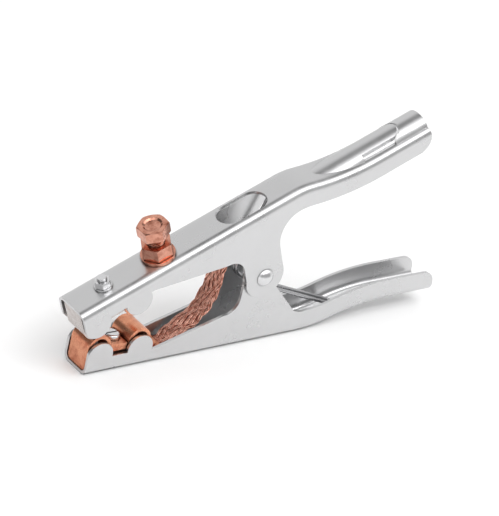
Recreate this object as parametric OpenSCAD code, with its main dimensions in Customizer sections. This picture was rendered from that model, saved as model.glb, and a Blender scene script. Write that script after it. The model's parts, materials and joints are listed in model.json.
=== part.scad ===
// Spring-loaded welding ground clamp: two pressed-steel levers on one rivet,
// copper contacts in the jaws, a copper braid between them and an M10 cable terminal.
//
// Frame: +X runs from the jaws to the handles, Y is the width and +Z is up.
// The clamp stands on the flat web of its lower lever, with its jaws closed.
// Lever shapes are drawn about the pivot with the web below, and the upper lever is mirrored.

/* [Levers] */
// Outer width of the upper lever
upper_w = 25; // [22:0.5:30]
// Thickness of the pressed sheet
sheet_t = 1.8; // [1.2:0.1:2.4]
// Side gap between the ears of the two levers
ear_gap = 0.2; // [0.1:0.05:0.5]
// Outside radius of the long bends
bend_r = 5; // [2.5:0.1:6]
// Distance from the pivot to the outside of each web
web_h = 45; // [40:1:56]
// Radius of the ears round the pivot
ear_r = 13; // [10:0.5:16]
// Pivot to nose, lower lever
lower_jaw_len = 112.5; // [95:0.5:140]
// Extra length of the upper jaw over the lower one
jaw_overhang = 2.5; // [0:0.5:4]

/* [Teeth] */
// Radius of each tooth
tooth_r = 8.3; // [7:0.1:9.5]
// Height of the tooth centres above the outside of the web
tooth_h = 11.4; // [10:0.1:14]
// Distance between the two teeth
tooth_pitch = 26.8; // [24:0.1:32]
// Height of the gap between the teeth above the outside of the web
valley_h = 10.4; // [9:0.1:11.4]

/* [Throat] */
// Radius of the throat in front of the pivot
throat_r = 10; // [7:0.5:12]
// Height of the throat centre below the pivot
throat_drop = 12.8; // [11:0.1:16]
// Height of the wall where the throat begins, behind the second tooth
throat_start_h = 9.6; // [8:0.1:10.4]

/* [Handles] */
// Pivot to the end of the lower handle
lower_handle_len = 141; // [120:1:170]
// Pivot to the end of the upper handle
upper_handle_len = 125; // [118:1:150]
// Height of the lower handle's walls
lower_wall_h = 14.5; // [11:0.5:16]
// Height of the upper handle's walls
upper_wall_h = 13; // [11:0.5:16]
// Where the lower handle begins to rise
lower_rise_x = 36; // [34:1:40]
// Where the upper handle begins to rise
upper_rise_x = 29; // [28:1:34]
// Angle of the rise in each handle
rise_angle = 17; // [14:1:20]
// Radius of the first bend of the lower handle
lower_bend_1 = 95; // [80:1:110]
// Radius of the second bend of the lower handle
lower_bend_2 = 145; // [120:1:160]
// Radius of the first bend of the upper handle
upper_bend_1 = 45; // [36:1:60]
// Radius of the second bend of the upper handle
upper_bend_2 = 165; // [140:1:180]
// Rounding of the handle ends
handle_end_r = 9; // [6:0.5:11]

/* [Cable guide] */
// Length of the cable hole in the upper web
cable_hole_len = 32; // [26:1:40]
// Width of the cable hole
cable_hole_w = 16.5; // [14:0.5:18]
// Outside radius of the half tube along the upper handle
guide_r = 10; // [8:0.5:10.5]
// Height of the half tube above the handle's web
guide_h = 5.5; // [4:0.5:7]
// Where the first stretch of half tube ends and its tongue begins
guide_end_x = 79; // [74:1:84]
// Where the tongue ends
tongue_end_x = 108; // [100:1:110]
// Half width of the tongue
tongue_w = 6; // [4:0.5:7]
// Gap between the tongue and the end ring
tongue_gap = 1.2; // [0.8:0.1:2]
// Where the end ring begins
guide_ring_x = 102; // [98:1:106]

/* [Contacts] */
// Thickness of the copper strip
strip_t = 2; // [1.5:0.1:2.5]
// Outside radius of the contact humps
hump_r = 7.4; // [6.5:0.1:8]
// Height of the copper hump centres above the outside of the web
hump_h = 15.8; // [14:0.1:18]
// Side gap between a copper strip and the lower lever's walls
strip_side_gap = 0.5; // [0.3:0.1:1]
// Gap between the front contacts when the jaws are closed
jaw_gap = 0.3; // [0.2:0.1:0.6]
// Length of the foot of each front contact
foot_len = 8; // [5:0.5:10]

/* [Fasteners] */
// Shank diameter of the pivot rivet
rivet_d = 8; // [6:0.5:10]
// Head diameter of the pivot rivet
rivet_head_d = 11; // [10:0.5:16]
// Head height of the pivot rivet
rivet_head_h = 3.4; // [2:0.1:5]
// Diameter of the contact screws
screw_d = 5; // [4:0.5:6]
// Diameter of the terminal bolt
bolt_d = 10; // [8:1:12]
// Width across flats of the terminal bolt and its nuts
bolt_af = 16; // [15:0.5:19]
// Height of the terminal bolt's head
bolt_head_h = 6.5; // [5:0.1:8]
// Height of the nut under the terminal bolt's head
bolt_nut_h = 8; // [6:0.1:10]
// Free shank between the nut and the bolt head, where a cable lug goes
lug_gap = 5.8; // [5.6:0.1:9]
// Distance of the terminal bolt in front of the pivot
bolt_x = 57.5; // [52:0.5:64]
// Running clearance on the radius of every shank in its hole
fit = 0.05; // [0.02:0.01:0.1]

/* [Spring and braid] */
// Wire diameter of the spring
wire_d = 2.2; // [1.6:0.1:2.4]
// Mean radius of the spring coils
coil_r = 8; // [7:0.1:9]
// Distance of the inner spring legs from the middle
leg_y = 3.3; // [3:0.1:3.5]
// Pivot to the end of the spring's lower legs
lower_foot_x = 70; // [60:1:80]
// Pivot to the end of the spring's upper legs
upper_foot_x = 28; // [20:1:29]
// Gap between the spring's feet and the webs that they press on
seat_gap = 0.2; // [0.1:0.05:0.5]
// Width of the copper braid
braid_w = 14; // [10:0.5:15]
// Thickness of the copper braid
braid_t = 2.6; // [2:0.1:3.2]

/* [Hidden] */
$fn = 96;

steel = "gainsboro";
copper = [0.80, 0.46, 0.33];
dark_steel = "slategray";

lower_w = upper_w - 2 * (sheet_t + ear_gap);
upper_jaw_len = lower_jaw_len + jaw_overhang;
tooth_in = tooth_r - 0.3;
hump_z = hump_h - web_h;
floor_z = sheet_t - web_h;
strip_w = lower_w - 2 * sheet_t - 2 * strip_side_gap;
shelf_top = hump_z;
shelf_gap = 0.1;

lower_t1 = tooth_in - lower_jaw_len;
upper_t1 = tooth_in - upper_jaw_len;
// The strips stand just behind the steel teeth, so their front legs are set back
strip_back = hump_r - tooth_in + 0.6;
lower_h1 = lower_t1 + max(0, strip_back);
upper_h1 = upper_t1 + max(0, strip_back);

// Closed angle between the webs: the front humps stand jaw_gap apart
lower_reach = norm([lower_h1, hump_z]);
upper_reach = norm([upper_h1, hump_z]);
hump_span = 2 * hump_r + jaw_gap;
closed_angle = atan(-hump_z / -lower_h1) + atan(-hump_z / -upper_h1)
  - acos((pow(lower_reach, 2) + pow(upper_reach, 2) - pow(hump_span, 2))
    / (2 * lower_reach * upper_reach));

// The pivot's place: the clamp's middle is over the origin and its web on the ground
nose_x = -upper_jaw_len * cos(closed_angle) - web_h * sin(closed_angle);
pivot_x = -(nose_x + lower_handle_len) / 2;
pivot_z = web_h;

module at_pivot() { translate([pivot_x, 0, pivot_z]) children(); }
module as_upper() { at_pivot() rotate([0, -closed_angle, 0]) mirror([0, 0, 1]) children(); }

// Side outline (x, z) made into a block of the given width
module across(w) { rotate([90, 0, 0]) linear_extrude(w, center = true) children(); }
// Cross-section (y, z) run along X
module along(x0, x1) {
  translate([x0, 0, 0]) rotate([90, 0, 90]) linear_extrude(x1 - x0) children();
}
// A round hole or peg across a web, from z0 to z1
module upright(x, z0, z1, r) { translate([x, 0, z0]) cylinder(h = z1 - z0, r = r); }

// ---- Pressed levers --------------------------------------------------------

// Channel cross-section: outside of the web at y = 0, walls of height h. With an inset,
// the section lies just inside the full one.
module channel(w, h, inset = 0) {
  difference() {
    rounded_base(w - 2 * inset, inset, h, bend_r - inset);
    rounded_base(w - 2 * (sheet_t - inset), sheet_t - inset, h + 1, bend_r - sheet_t + inset);
  }
}
module rounded_base(w, z0, z1, r) {
  union() {
    translate([-w / 2, z0 + r]) square([w, z1 - z0 - r]);
    translate([r - w / 2, z0]) square([w - 2 * r, r + 0.01]);
    for (s = [-1, 1]) translate([s * (w / 2 - r), z0 + r]) circle(r);
  }
}

// Block with the side outline of the jaw, throat and ear, up to x_end; back is the edge
// behind the ear. A child is cut away.
module jaw_block(w, len, wall_h, x_end, back) {
  t1 = tooth_in - len;
  t2 = t1 + tooth_pitch;
  tooth_z = tooth_h - web_h;
  valley_z = valley_h - web_h;
  throat_start_z = throat_start_h - web_h;
  ear_front = 0.6 - ear_r;
  throat = [ear_front - throat_r, -throat_drop];
  difference() {
    union() {
      across(w) polygon(concat([[-len, -web_h], [-len, tooth_z], [t1, tooth_z], [t1, valley_z],
        [t2, valley_z], [t2, throat_start_z], [t2 + tooth_r + 2, throat_start_z],
        throat - [0, throat_r], [ear_front, throat[1]], [ear_front, 0], [0, 0]],
        back, [[x_end, wall_h - web_h], [x_end, -web_h]]));
      for (t = [t1, t2]) round_across(w, [t, tooth_z], tooth_r);
      round_across(w, [0, 0], ear_r);
    }
    round_across(w + 1, throat, throat_r);
    children();
  }
}
module round_across(w, p, r) {
  translate([p[0], 0, p[1]]) rotate([90, 0, 0]) cylinder(h = w, r = r, center = true);
}

// The wall behind the ear of the upper lever is a round notch
notch_r = upper_rise_x - ear_r + 0.2;
notch_z = upper_wall_h - web_h + notch_r;
upper_back = [[ear_r - 0.2, 0], [ear_r - 0.2, notch_z], [upper_rise_x, notch_z]];
// and behind the ear of the lower lever it is a straight slope
lower_back = [[ear_r * cos(35), 0], [ear_r * cos(35), -ear_r * sin(35)],
  [lower_rise_x - 5, lower_wall_h - web_h + 1.6]];

// A handle has two bends that raise its web, in line with the body at x0.
// The first bend is centred at knee_1 above the web and the second at knee_2 below it.
function knee_1(x0, r1) = [x0, r1 - web_h];
function knee_2(x0, r1, r2) = knee_1(x0, r1) + (r1 + r2) * [sin(rise_angle), -cos(rise_angle)];
function handle_z(r1, r2) = (r1 + r2) * (1 - cos(rise_angle)) - web_h;

// Each stretch of a handle is a hundredth smaller than the one before it and begins
// just inside it, so that they unite cleanly
step = 0.01;
lap = 0.5;
module bend_up(w, wall_h, x0, r1) {
  c = knee_1(x0, r1);
  lap_angle = lap / r1 * 180 / PI;
  translate([c[0], 0, c[1]]) rotate([90, 0, 0]) rotate([0, 0, -90 - lap_angle])
    rotate_extrude(angle = rise_angle + lap_angle, $fn = 720)
      translate([r1, 0]) rotate(90) channel(w, wall_h - step, step);
}
module bend_level(w, wall_h, x0, r1, r2) {
  c = knee_2(x0, r1, r2);
  lap_angle = lap / r2 * 180 / PI;
  translate([c[0], 0, c[1]]) rotate([90, 0, 0]) rotate([0, 0, 90])
    rotate_extrude(angle = rise_angle + lap_angle, $fn = 720)
      translate([r2, 0]) rotate(-90) channel(w, wall_h - 2 * step, 2 * step);
}
module handle_end(w, wall_h, x0, r1, r2, len) {
  x1 = knee_2(x0, r1, r2)[0] - lap;
  z1 = handle_z(r1, r2);
  intersection() {
    along(x1, len) translate([0, z1]) channel(w, wall_h, 3 * step);
    across(w + 1) end_side(x1, len, z1, wall_h - 3 * step);
  }
}
// Side outline of a handle's end, with one rounded corner
module end_side(x1, len, z1, wall_h) {
  translate([x1, z1]) square([len - x1, wall_h - handle_end_r]);
  translate([x1, z1]) square([len - x1 - handle_end_r, wall_h]);
  translate([len - handle_end_r, z1 + wall_h - handle_end_r]) circle(handle_end_r);
}
module body(w, len, wall_h, x_end, back) {
  intersection() {
    along(-len, x_end) translate([0, -web_h]) channel(w, web_h + ear_r);
    jaw_block(w + 1, len, wall_h, x_end, back) children();
  }
}
module pivot_hole() {
  rotate([90, 0, 0]) cylinder(h = upper_w + 2, r = rivet_d / 2 + fit, center = true);
}

module lower_lever() {
  color(steel) at_pivot() union() {
    difference() {
      body(lower_w, lower_jaw_len, lower_wall_h, lower_rise_x, lower_back);
      pivot_hole();
      upright(lower_h1 + tooth_pitch / 2, -web_h - 1, floor_z + 1, screw_d / 2 + fit);
      upright(lug_rivet_x, -web_h - 1, floor_z + 1, lug_rivet_r + fit);
    }
    bend_up(lower_w, lower_wall_h, lower_rise_x, lower_bend_1);
    bend_level(lower_w, lower_wall_h, lower_rise_x, lower_bend_1, lower_bend_2);
    handle_end(lower_w, lower_wall_h, lower_rise_x, lower_bend_1, lower_bend_2,
      lower_handle_len);
  }
}

guide_top = handle_z(upper_bend_1, upper_bend_2) - guide_h;
guide_z = guide_top + guide_r;
guide_start_x = upper_rise_x + upper_bend_1 * sin(rise_angle);

module upper_lever() {
  color(steel) as_upper() union() {
    difference() {
      body(upper_w, upper_jaw_len, upper_wall_h, upper_rise_x, upper_back)
        round_across(upper_w + 2, [upper_rise_x, notch_z], notch_r);
      pivot_hole();
      cable_hole();
      upright(upper_h1 + tooth_pitch / 2, -web_h - 1, floor_z + 1, screw_d / 2 + fit);
      upright(-bolt_x, -web_h - 1, floor_z + 1, bolt_d / 2 + fit);
    }
    difference() {
      union() {
        bend_up(upper_w, upper_wall_h, upper_rise_x, upper_bend_1);
        bend_level(upper_w, upper_wall_h, upper_rise_x, upper_bend_1, upper_bend_2);
        handle_end(upper_w, upper_wall_h, upper_rise_x, upper_bend_1, upper_bend_2,
          upper_handle_len);
      }
      guide_cylinder(guide_start_x, upper_handle_len + 1, guide_r - sheet_t);
    }
    guide_shell();
  }
}
module cable_hole() {
  end = (cable_hole_len - cable_hole_w) / 2;
  translate([-1, 0, -web_h - 1]) linear_extrude(sheet_t + 3) {
    square([2 * end, cable_hole_w], center = true);
    for (s = [-1, 1]) translate([s * end, 0]) circle(cable_hole_w / 2);
  }
}
module guide_cylinder(x0, x1, r) {
  translate([x0, 0, guide_z]) rotate([0, 90, 0]) cylinder(h = x1 - x0, r = r);
}
// The half tube stands out of the web. Its first stretch follows the second bend and ends
// in a tongue, and a short end ring with a round notch stands clear of the tongue.
module guide_shell() {
  knee = knee_2(upper_rise_x, upper_bend_1, upper_bend_2);
  tongue_c = tongue_end_x - tongue_w;
  intersection() {
    difference() {
      guide_cylinder(guide_start_x, upper_handle_len, guide_r);
      guide_cylinder(guide_start_x - 1, upper_handle_len + 1, guide_r - sheet_t);
    }
    union() {
      intersection() {
        guide_block(guide_start_x, guide_end_x, guide_r);
        round_across(2 * guide_r + 1, knee, upper_bend_2 + sheet_t / 2);
      }
      guide_block(guide_end_x - 1, tongue_c, tongue_w);
      upright(tongue_c, guide_top - 1, guide_top + guide_h, tongue_w);
      difference() {
        guide_block(guide_ring_x, upper_handle_len, guide_r);
        upright(tongue_c, guide_top - 2, guide_z, tongue_w + tongue_gap);
      }
    }
  }
}
// Everything on the outside of the middle of the handle's web, between x0 and x1
module guide_block(x0, x1, half_w) {
  translate([x0, -half_w, guide_top - 1])
    cube([x1 - x0, 2 * half_w, guide_h + 1 + sheet_t / 2]);
}

// ---- Rivet and spring ------------------------------------------------------

module pivot_rivet() {
  head_z = upper_w / 2 + 0.1;
  color(steel) at_pivot() rotate([90, 0, 0]) {
    cylinder(h = 2 * head_z, r = rivet_d / 2, center = true);
    for (s = [0, 1]) mirror([0, 0, s]) translate([0, 0, head_z]) rivet_head();
  }
}
module rivet_head() {
  r = rivet_head_d / 2;
  h = rivet_head_h;
  ball = (r * r + h * h) / (2 * h);
  rotate_extrude() intersection() {
    translate([0, h - ball]) circle(ball);
    square([r, h]);
  }
}

// A round wire with n sides swept along q, a list of [point, direction across the wire]
function unit(v) = v / norm(v);
function tangent(q, i) = unit(q[min(i + 1, len(q) - 1)][0] - q[max(i - 1, 0)][0]);
function ring(q, i, r, n) =
  let (a = q[i][1], b = unit(cross(tangent(q, i), a)))
  [for (k = [0:n - 1]) q[i][0] + r * (cos(360 * k / n) * a + sin(360 * k / n) * b)];
function tube_faces(rings, n) = concat(
  [[for (k = [0:n - 1]) k]],
  [for (i = [0:rings - 2]) for (k = [0:n - 1])
    [i * n + k, (i + 1) * n + k, (i + 1) * n + (k + 1) % n, i * n + (k + 1) % n]],
  [[for (k = [n - 1:-1:0]) (rings - 1) * n + k]]);

// Height of the outside of a handle's web at x
function web_z(x, x0, r1, r2) =
  let (k1 = x0 + r1 * sin(rise_angle), k2 = knee_2(x0, r1, r2)[0])
  x < x0 ? -web_h
  : x < k1 ? r1 - web_h - sqrt(r1 * r1 - pow(x - x0, 2))
  : x < k2 ? handle_z(r1, r2) - r2 + sqrt(r2 * r2 - pow(k2 - x, 2))
  : handle_z(r1, r2);
// The legs end just clear of the webs that they press on: the lower ones on the handle,
// the upper ones on the flat web behind the cable hole
lower_foot = [lower_foot_x, (sheet_t + wire_d / 2 + seat_gap) / cos(rise_angle)
  + web_z(lower_foot_x, lower_rise_x, lower_bend_1, lower_bend_2)];
upper_foot = to_upper(upper_foot_x, sheet_t + wire_d / 3 + seat_gap - web_h);
// Each leg runs straight from its foot to the coil that it is tangent to
lower_leg_len = sqrt(pow(norm(lower_foot), 2) - pow(coil_r, 2));
upper_leg_len = sqrt(pow(norm(upper_foot), 2) - pow(coil_r, 2));
lower_leg_angle = atan2(lower_foot[1], lower_foot[0]) + atan(coil_r / lower_leg_len);
upper_leg_angle = atan2(upper_foot[1], upper_foot[0]) - atan(coil_r / upper_leg_len);
coil_gap = 0.35;
coil_pitch = wire_d + coil_gap;
coil_steps = 28;
// Turn from the lower leg's tangent point, round the front, to the upper leg's
coil_turn = 360 + 180 - upper_leg_angle + lower_leg_angle;

// One half of the spring: bridge, lower leg, coil and upper leg
function half_spring() =
  let (d = [cos(lower_leg_angle), 0, sin(lower_leg_angle)],
    n = [sin(lower_leg_angle), 0, -cos(lower_leg_angle)],
    start = coil_r * n + [0, leg_y, 0],
    out_y = leg_y + coil_pitch * coil_turn / 360,
    u = [cos(upper_leg_angle), 0, sin(upper_leg_angle)],
    un = [-sin(upper_leg_angle), 0, cos(upper_leg_angle)],
    leave = coil_r * un + [0, out_y, 0])
  concat(
    [[start + lower_leg_len * d - [0, leg_y, 0], n],
      [start + lower_leg_len * d - [0, 1, 0], n],
      [start + (lower_leg_len - 1) * d, n], [start + lower_leg_len / 2 * d, n]],
    [for (i = [0:coil_steps])
      let (a = lower_leg_angle - 90 - coil_turn * i / coil_steps, out = [cos(a), 0, sin(a)])
      [coil_r * out + [0, leg_y + (out_y - leg_y) * i / coil_steps, 0], out]],
    [[leave + upper_leg_len / 2 * u, un], [leave + upper_leg_len * u, un]]);
function mirrored(q) = [[q[0][0], -q[0][1], q[0][2]], q[1]];
function spring_path() =
  let (h = half_spring(), last = len(h) - 1)
  concat([for (i = [last:-1:1]) mirrored(h[i])], h);

module torsion_spring() {
  sides = 8;
  q = spring_path();
  points = [for (i = [0:len(q) - 1]) each ring(q, i, wire_d / 2, sides)];
  color(dark_steel) at_pivot() polyhedron(points, tube_faces(len(q), sides), convexity = 6);
}

// ---- Copper contacts -------------------------------------------------------

// Side outlines of the strips, drawn with the web below; h1 is the front hump's centre
module hump(x) {
  difference() {
    translate([x, hump_z]) circle(hump_r);
    translate([x, hump_z]) circle(hump_r - strip_t);
    translate([x - hump_r, hump_z - hump_r]) square([2 * hump_r, hump_r]);
  }
}
module leg(x, z0) { translate([x, z0]) square([strip_t, hump_z + 0.01 - z0]); }

module front_strip(h1) {
  hump(h1);
  leg(h1 - hump_r, floor_z);
  translate([h1 - hump_r, floor_z]) square([foot_len, strip_t]);
  leg(h1 + hump_r - strip_t, shelf_top - strip_t);
  translate([h1 + hump_r - strip_t, shelf_top - strip_t])
    square([tooth_pitch - 2 * hump_r + strip_t - 0.8, strip_t]);
}
module rear_strip(h1, tail_end) {
  h2 = h1 + tooth_pitch;
  low = shelf_top - 2 * strip_t - shelf_gap;
  hump(h2);
  leg(h2 - hump_r, low);
  translate([h1 + hump_r, low]) square([tooth_pitch - 2 * hump_r + strip_t, strip_t]);
  leg(h2 + hump_r - strip_t, floor_z);
  translate([h2 + hump_r - strip_t, floor_z]) square([tail_end - h2 - hump_r + strip_t, strip_t]);
}
// Rounds the lower edges of a strip, clear of the inside bends of the channel
module in_channel() {
  intersection() {
    children();
    along(-upper_jaw_len, 0) translate([0, -web_h])
      rounded_base(strip_w, sheet_t, web_h, bend_r - sheet_t);
  }
}
module front_contact(h1) {
  difference() {
    in_channel() across(strip_w) front_strip(h1);
    upright(h1 + tooth_pitch / 2, floor_z, shelf_top + 1, screw_d / 2 + fit);
  }
}
module rear_contact(h1, tail_end, hole_x, hole_r) {
  difference() {
    in_channel() across(strip_w) rear_strip(h1, tail_end);
    upright(h1 + tooth_pitch / 2, floor_z + strip_t + 1, shelf_top + 1, screw_d / 2 + fit);
    upright(hole_x, floor_z - 1, floor_z + strip_t + 1, hole_r + fit);
  }
}

// The tails stop just short of the lugs, clear of the braid
tail_back = 0.5;
module lower_front_contact() { color(copper) at_pivot() front_contact(lower_h1); }
module lower_rear_contact() {
  color(copper) at_pivot() rear_contact(lower_h1, lug_end_x - tail_back, lug_rivet_x, lug_rivet_r);
}
module upper_front_contact() { color(copper) as_upper() front_contact(upper_h1); }
module upper_rear_contact() {
  color(copper) as_upper() rear_contact(upper_h1, upper_lug_end_x - tail_back, -bolt_x, bolt_d / 2);
}

// ---- Contact screws --------------------------------------------------------

screw_head_r = screw_d * 0.95;
screw_head_h = screw_d * 0.56;
// Pan head on the shelf of the contacts, shank through the web to z_end
module contact_screw(x, z_end) {
  difference() {
    union() {
      upright(x, z_end, shelf_top + 0.1, screw_d / 2);
      translate([x, 0, shelf_top]) pan_head();
    }
    translate([x, 0, shelf_top + screw_head_h - 1.2 + 1])
      cube([2 * screw_head_r, 1.2, 2], center = true);
  }
}
module pan_head() {
  r = screw_head_r;
  h = screw_head_h;
  edge = h / 2;
  rotate_extrude() {
    square([r, h - edge]);
    square([r - edge, h]);
    translate([r - edge, h - edge]) circle(edge);
  }
}
module lower_contact_screw() {
  color(steel) at_pivot() contact_screw(lower_h1 + tooth_pitch / 2, -web_h);
}

washer_t = 1;
small_nut_h = 4;
small_nut_af = 8;
screw_end = 2;
module upper_contact_screw() {
  color(steel) as_upper()
    contact_screw(upper_h1 + tooth_pitch / 2, -web_h - washer_t - small_nut_h - screw_end);
}
module upper_contact_washer() {
  color(steel) as_upper() difference() {
    upright(upper_h1 + tooth_pitch / 2, -web_h - washer_t, -web_h, screw_d);
    upright(upper_h1 + tooth_pitch / 2, -web_h - washer_t - 1, -web_h + 1, screw_d / 2 + fit);
  }
}
// A hexagonal nut of height h standing on z0, with chamfered corners
module hex_nut(x, z0, h, af, bore_r) {
  corner_r = af / sqrt(3);
  difference() {
    translate([x, 0, z0]) intersection() {
      cylinder(h = h, r = corner_r, $fn = 6);
      chamfered_disc(corner_r, h, corner_r * 0.09);
    }
    upright(x, z0 - 1, z0 + h + 1, bore_r);
  }
}
module chamfered_disc(r, h, c) {
  rotate_extrude() polygon([[0, 0], [r - c, 0], [r, c / 2], [r, h - c / 2], [r - c, h], [0, h]]);
}
module upper_contact_nut() {
  color(steel) as_upper()
    hex_nut(upper_h1 + tooth_pitch / 2, -web_h - washer_t - small_nut_h, small_nut_h,
      small_nut_af, screw_d / 2 + fit);
}

// ---- Cable terminal --------------------------------------------------------

flange_t = 2;
flange_r = 9.8;
lock_nut_h = 5;
bolt_tail = 2;
lug_t = 2.6;
nut_z = -web_h - flange_t - bolt_nut_h;
head_z = nut_z - lug_gap;
lock_z = floor_z + strip_t + lug_t;

module terminal_washer() {
  color(copper) as_upper() difference() {
    upright(-bolt_x, -web_h - flange_t, -web_h, flange_r);
    upright(-bolt_x, -web_h - flange_t - 1, -web_h + 1, bolt_d / 2 + fit);
  }
}
module terminal_nut() {
  color(copper) as_upper() hex_nut(-bolt_x, nut_z, bolt_nut_h, bolt_af, bolt_d / 2 + fit);
}
module terminal_lock_nut() {
  color(steel) as_upper() hex_nut(-bolt_x, lock_z, lock_nut_h, bolt_af - 1, bolt_d / 2 + fit);
}
module terminal_bolt() {
  corner_r = bolt_af / sqrt(3);
  dish_r = bolt_af * 0.31;
  color(copper) as_upper() difference() {
    union() {
      upright(-bolt_x, head_z - 0.1, lock_z + lock_nut_h + bolt_tail, bolt_d / 2);
      translate([-bolt_x, 0, head_z - bolt_head_h]) intersection() {
        cylinder(h = bolt_head_h, r = corner_r, $fn = 6);
        chamfered_disc(corner_r, bolt_head_h, corner_r * 0.09);
      }
    }
    upright(-bolt_x, head_z - bolt_head_h - 1, head_z - bolt_head_h + 1.2, dish_r);
  }
}

// ---- Braid and its lugs ----------------------------------------------------

lug_w = braid_w + 1;
lug_rivet_r = 2;
lug_start_x = lower_h1 + tooth_pitch + hump_r + 0.6;
lug_rivet_x = lug_start_x + 6;
lug_end_x = lug_start_x + 12;
lug_z = floor_z + strip_t;
upper_lug_start_x = -bolt_x - 8.5;
upper_lug_end_x = -bolt_x + 18;

module lower_braid_lug() {
  color(copper) at_pivot() difference() {
    translate([lug_start_x, -lug_w / 2, lug_z]) cube([lug_end_x - lug_start_x, lug_w, lug_t]);
    upright(lug_rivet_x, lug_z - 1, lug_z + lug_t + 1, lug_rivet_r + fit);
  }
}
module lower_braid_rivet() {
  color(copper) at_pivot() {
    upright(lug_rivet_x, -web_h, lug_z + lug_t + 0.1, lug_rivet_r);
    upright(lug_rivet_x, lug_z + lug_t, lug_z + lug_t + 1.4, lug_rivet_r + 1.8);
  }
}
module upper_braid_lug() {
  color(copper) as_upper() difference() {
    translate([upper_lug_start_x, -lug_w / 2, lug_z])
      cube([upper_lug_end_x - upper_lug_start_x, lug_w, lug_t]);
    upright(-bolt_x, lug_z - 1, lug_z + lug_t + 1, bolt_d / 2 + fit);
  }
}

function to_upper(x, z) = [x * cos(closed_angle) + z * sin(closed_angle),
  x * sin(closed_angle) - z * cos(closed_angle)];
braid_z = lug_z + lug_t / 2;
// Route of the braid about the pivot (x, z): it leaves the lower lug, passes in front of the
// pivot and ends at the upper lug. Its first and last stretches go with their lugs.
braid_low = [lug_end_x, braid_z];
braid_top = to_upper(upper_lug_end_x, braid_z);
braid_knots = [braid_low, braid_low + [3, 0], braid_low + [10.7, 6.9], braid_low + [19.7, 12.9],
  braid_low + [26.7, 20.9], [-27, -9], [-25.5, 2], braid_top + [24.5, -8.2],
  braid_top + [18, -0.2], to_upper(upper_lug_end_x + 4, braid_z), braid_top];

// Smooth curve through the knots
function knot(i) = braid_knots[max(0, min(i, len(braid_knots) - 1))];
function curve(i, t) = 0.5 * (2 * knot(i) + t * (knot(i + 1) - knot(i - 1))
  + t * t * (2 * knot(i - 1) - 5 * knot(i) + 4 * knot(i + 1) - knot(i + 2))
  + t * t * t * (3 * knot(i) - knot(i - 1) - 3 * knot(i + 1) + knot(i + 2)));
braid_steps = 5;
function braid_curve() = concat(
  [for (i = [0:len(braid_knots) - 2]) for (k = [0:braid_steps - 1]) curve(i, k / braid_steps)],
  [knot(len(braid_knots) - 1)]);

// Flat band: the side outline of the route, thickened and cut to the braid's width
module copper_braid() {
  p = braid_curve();
  n = len(p) - 1;
  last = len(braid_knots) - 1;
  // The ends are square to the lugs
  d = concat([unit(knot(1) - knot(0))],
    [for (i = [1:n - 1]) unit(p[i + 1] - p[i - 1])], [unit(knot(last) - knot(last - 1))]);
  left = [for (i = [0:n]) p[i] + braid_t / 2 * [-d[i][1], d[i][0]]];
  right = [for (i = [n:-1:0]) p[i] - braid_t / 2 * [-d[i][1], d[i][0]]];
  color(copper) at_pivot() across(braid_w) polygon(concat(left, right));
}

lower_lever();
upper_lever();
pivot_rivet();
torsion_spring();
lower_front_contact();
lower_rear_contact();
lower_contact_screw();
lower_braid_lug();
lower_braid_rivet();
copper_braid();
upper_front_contact();
upper_rear_contact();
upper_contact_screw();
upper_contact_washer();
upper_contact_nut();
upper_braid_lug();
terminal_washer();
terminal_nut();
terminal_lock_nut();
terminal_bolt();
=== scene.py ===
"""Welding ground clamp: finishes, wound spring, woven braid and cut threads on the frame."""

import json
import math

import bmesh
import bpy
from mathutils import Matrix, Vector


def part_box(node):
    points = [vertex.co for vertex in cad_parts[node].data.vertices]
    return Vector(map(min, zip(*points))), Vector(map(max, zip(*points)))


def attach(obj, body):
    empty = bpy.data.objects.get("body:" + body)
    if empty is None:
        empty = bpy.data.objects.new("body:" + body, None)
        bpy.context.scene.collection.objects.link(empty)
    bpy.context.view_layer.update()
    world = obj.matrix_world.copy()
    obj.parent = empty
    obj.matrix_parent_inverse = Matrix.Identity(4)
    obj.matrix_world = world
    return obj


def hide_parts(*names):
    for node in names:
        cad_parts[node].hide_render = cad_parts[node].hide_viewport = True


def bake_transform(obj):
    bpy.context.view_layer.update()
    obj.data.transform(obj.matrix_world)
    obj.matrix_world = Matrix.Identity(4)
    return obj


bl_info = {
    "name": "Welding ground clamp",
    "version": (1, 0, 0),
    "blender": (4, 5, 0),
    "location": "3D View > Sidebar > Ground Clamp",
    "description": "Finishes and details of a spring-loaded welding ground clamp",
    "category": "Add Mesh",
}

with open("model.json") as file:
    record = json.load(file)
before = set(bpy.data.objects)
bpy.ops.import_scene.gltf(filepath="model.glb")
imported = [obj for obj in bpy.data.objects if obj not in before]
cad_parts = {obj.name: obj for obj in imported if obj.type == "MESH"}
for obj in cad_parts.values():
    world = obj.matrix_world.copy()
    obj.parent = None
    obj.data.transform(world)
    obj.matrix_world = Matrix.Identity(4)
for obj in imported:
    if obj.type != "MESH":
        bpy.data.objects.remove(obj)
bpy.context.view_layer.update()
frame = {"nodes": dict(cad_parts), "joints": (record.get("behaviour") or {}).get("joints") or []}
NODES = frame["nodes"]
JOINTS = {joint["name"]: joint for joint in frame["joints"]}
MM = 0.001
# Points nearer than this are one point
MERGE = 1e-7

# ---- The clamp's own frame --------------------------------------------------

PIVOT = Vector(JOINTS["jaw_pivot"]["pos_m"])
# Outward direction of the terminal, square to the upper lever's web
TERMINAL_UP = Vector(JOINTS["terminal_travel"]["axis"]).normalized()
# Direction along the upper lever, from the jaws to the handle
UPPER_ALONG = Vector((TERMINAL_UP.z, 0.0, -TERMINAL_UP.x))
# Height of the upper lever's web above the pivot, and the sheet it is pressed from
WEB_H = 0.045
SHEET_T = 0.0018
# Gap left between the sheet and what is seated on it
SEAT_GAP = 0.0002


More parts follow.
